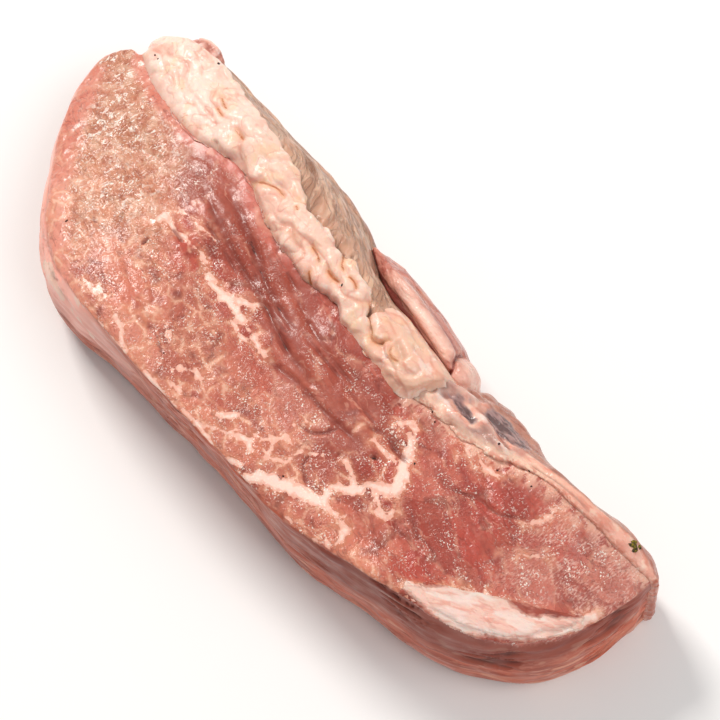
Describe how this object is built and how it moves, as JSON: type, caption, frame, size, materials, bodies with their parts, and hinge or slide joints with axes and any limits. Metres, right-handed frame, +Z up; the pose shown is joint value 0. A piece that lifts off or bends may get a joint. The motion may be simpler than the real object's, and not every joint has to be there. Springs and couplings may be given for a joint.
{
  "type": "raw picanha steak",
  "caption": "Thick raw beef rump cap steak lying cut face up, with a lumpy cream fat cap along its back edge and a folded side flap.",
  "frame": {"origin": "bottom centre of the whole steak, on the board", "axes": "+X along the steak to its narrow end, +Y to the fat cap, +Z up out of the cut face"},
  "size_m": [0.1982, 0.0726, 0.0371],
  "materials": {
    "lean_meat": "raw, moist cut muscle with pale marbling",
    "cream_fat": "raw, lumpy, softly shining beef fat",
    "pink_fat": "raw thin fat and membrane, moist",
    "flap_meat": "raw pink muscle under a pale skin",
    "strand_meat": "raw dark red muscle strands",
    "seam_fat": "raw layered white-pink fat"
  },
  "bodies": {
    "root": {"lean": "lean_meat", "fat_cap": "cream_fat", "rim_fat": "pink_fat", "side_flap": "flap_meat", "corner_lean": "strand_meat", "seam_fat": "seam_fat"}
  },
  "joints": []
}
